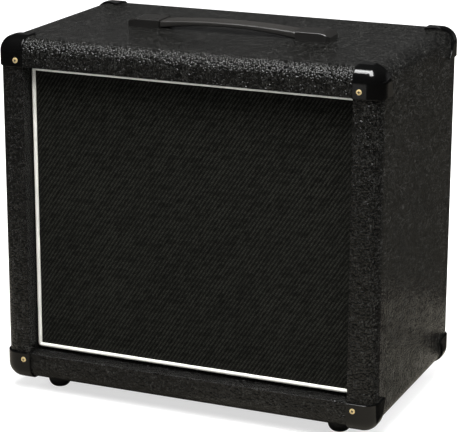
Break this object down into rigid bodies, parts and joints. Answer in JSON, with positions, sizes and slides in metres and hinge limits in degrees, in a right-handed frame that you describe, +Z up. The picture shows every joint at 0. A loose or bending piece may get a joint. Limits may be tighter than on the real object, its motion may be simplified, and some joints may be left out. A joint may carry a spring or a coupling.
{
  "type": "guitar speaker cabinet",
  "caption": "Closed-back guitar speaker cabinet covered in black grained vinyl, with a recessed grille cloth, white piping, moulded corners, strap handle, rubber feet and rear jack.",
  "frame": {"origin": "on the floor under the middle of the box, level with the treads of the feet", "axes": "+X to the viewer's right along the width, +Y from the grille to the rear, +Z up"},
  "size_m": [0.5048, 0.3062, 0.473],
  "materials": {
    "vinyl": "black vinyl with a pebbled leather grain, satin",
    "plywood": "bare birch plywood",
    "black_board": "plywood painted matt black",
    "cloth": "black woven grille cloth with a diagonal rib",
    "piping": "white vinyl piping",
    "protector": "black moulded plastic, gloss",
    "brass_screw": "brass-plated steel, bright",
    "black_screw": "black-plated steel",
    "zinc_screw": "zinc-plated steel",
    "strap": "dark grained vinyl over a steel strip",
    "cap": "black moulded plastic, satin",
    "spring_steel": "blued spring steel",
    "foot": "black rubber",
    "basket": "pressed steel, black enamel",
    "gasket": "grey pulp board",
    "cone": "dark paper pulp",
    "surround": "doped cloth",
    "spider": "resin-stiffened cloth",
    "former": "thin foil",
    "winding": "enamelled copper wire",
    "pole_steel": "zinc-plated steel",
    "ferrite": "sintered ferrite, matt",
    "fibre": "fibre board",
    "contact": "tinned brass",
    "dish": "black moulded plastic",
    "socket": "black moulded plastic",
    "nut": "nickel-plated",
    "lead_red": "insulated copper wire",
    "lead_black": "insulated copper wire"
  },
  "bodies": {
    "cabinet": {"top_panel": "plywood", "bottom_panel": "plywood", "left_side_panel": "plywood", "right_side_panel": "plywood", "front_top_rail": "plywood", "front_bottom_rail": "plywood", "front_left_rail": "plywood", "front_right_rail": "plywood", "rear_top_rail": "plywood", "rear_bottom_rail": "plywood", "rear_left_rail": "plywood", "rear_right_rail": "plywood", "baffle_board": "black_board", "baffle_screws": "zinc_screw", "grille_cloth": "cloth", "grille_piping": "piping", "vinyl_covering": "vinyl", "rear_panel": "black_board", "rear_screws": "black_screw", "corner_front_top_left": "protector", "corner_front_top_right": "protector", "corner_front_bottom_left": "protector", "corner_front_bottom_right": "protector", "corner_rear_top_left": "protector", "corner_rear_top_right": "protector", "corner_rear_bottom_left": "protector", "corner_rear_bottom_right": "protector", "corner_screws": "brass_screw", "handle_cap_left": "cap", "handle_cap_right": "cap", "handle_screws": "zinc_screw", "foot_front_left": "foot", "foot_front_right": "foot", "foot_rear_left": "foot", "foot_rear_right": "foot", "foot_screws": "zinc_screw", "speaker_basket": "basket", "speaker_gasket": "gasket", "cone_surround": "surround", "spider": "spider", "front_pole_plate": "pole_steel", "ferrite_magnet": "ferrite", "rear_pole_yoke": "pole_steel", "terminal_board": "fibre", "terminal_tabs": "contact", "tinsel_leads": "contact", "speaker_bolts": "zinc_screw", "tee_nuts": "zinc_screw", "jack_dish": "dish", "jack_socket": "socket", "jack_nut": "nut", "jack_contacts": "contact", "lead_positive": "lead_red", "lead_negative": "lead_black"},
    "cone_assembly": {"speaker_cone": "cone", "dust_cap": "cone", "voice_coil_former": "former", "voice_coil_winding": "winding"},
    "handle_grip": {"handle_strap": "strap", "handle_strip": "spring_steel"}
  },
  "joints": [
    {"name": "cone_travel", "type": "slide", "parent": "cabinet", "child": "cone_assembly", "axis": [0, 1, 0], "range_m": [-0.004, 0.004], "stiffness_N_per_m": 6000, "deforming": ["cone_surround", "spider", "tinsel_leads"]},
    {"name": "handle_lift", "type": "slide", "parent": "cabinet", "child": "handle_grip", "axis": [0, 0, 1], "range_m": [0, 0.002]}
  ]
}
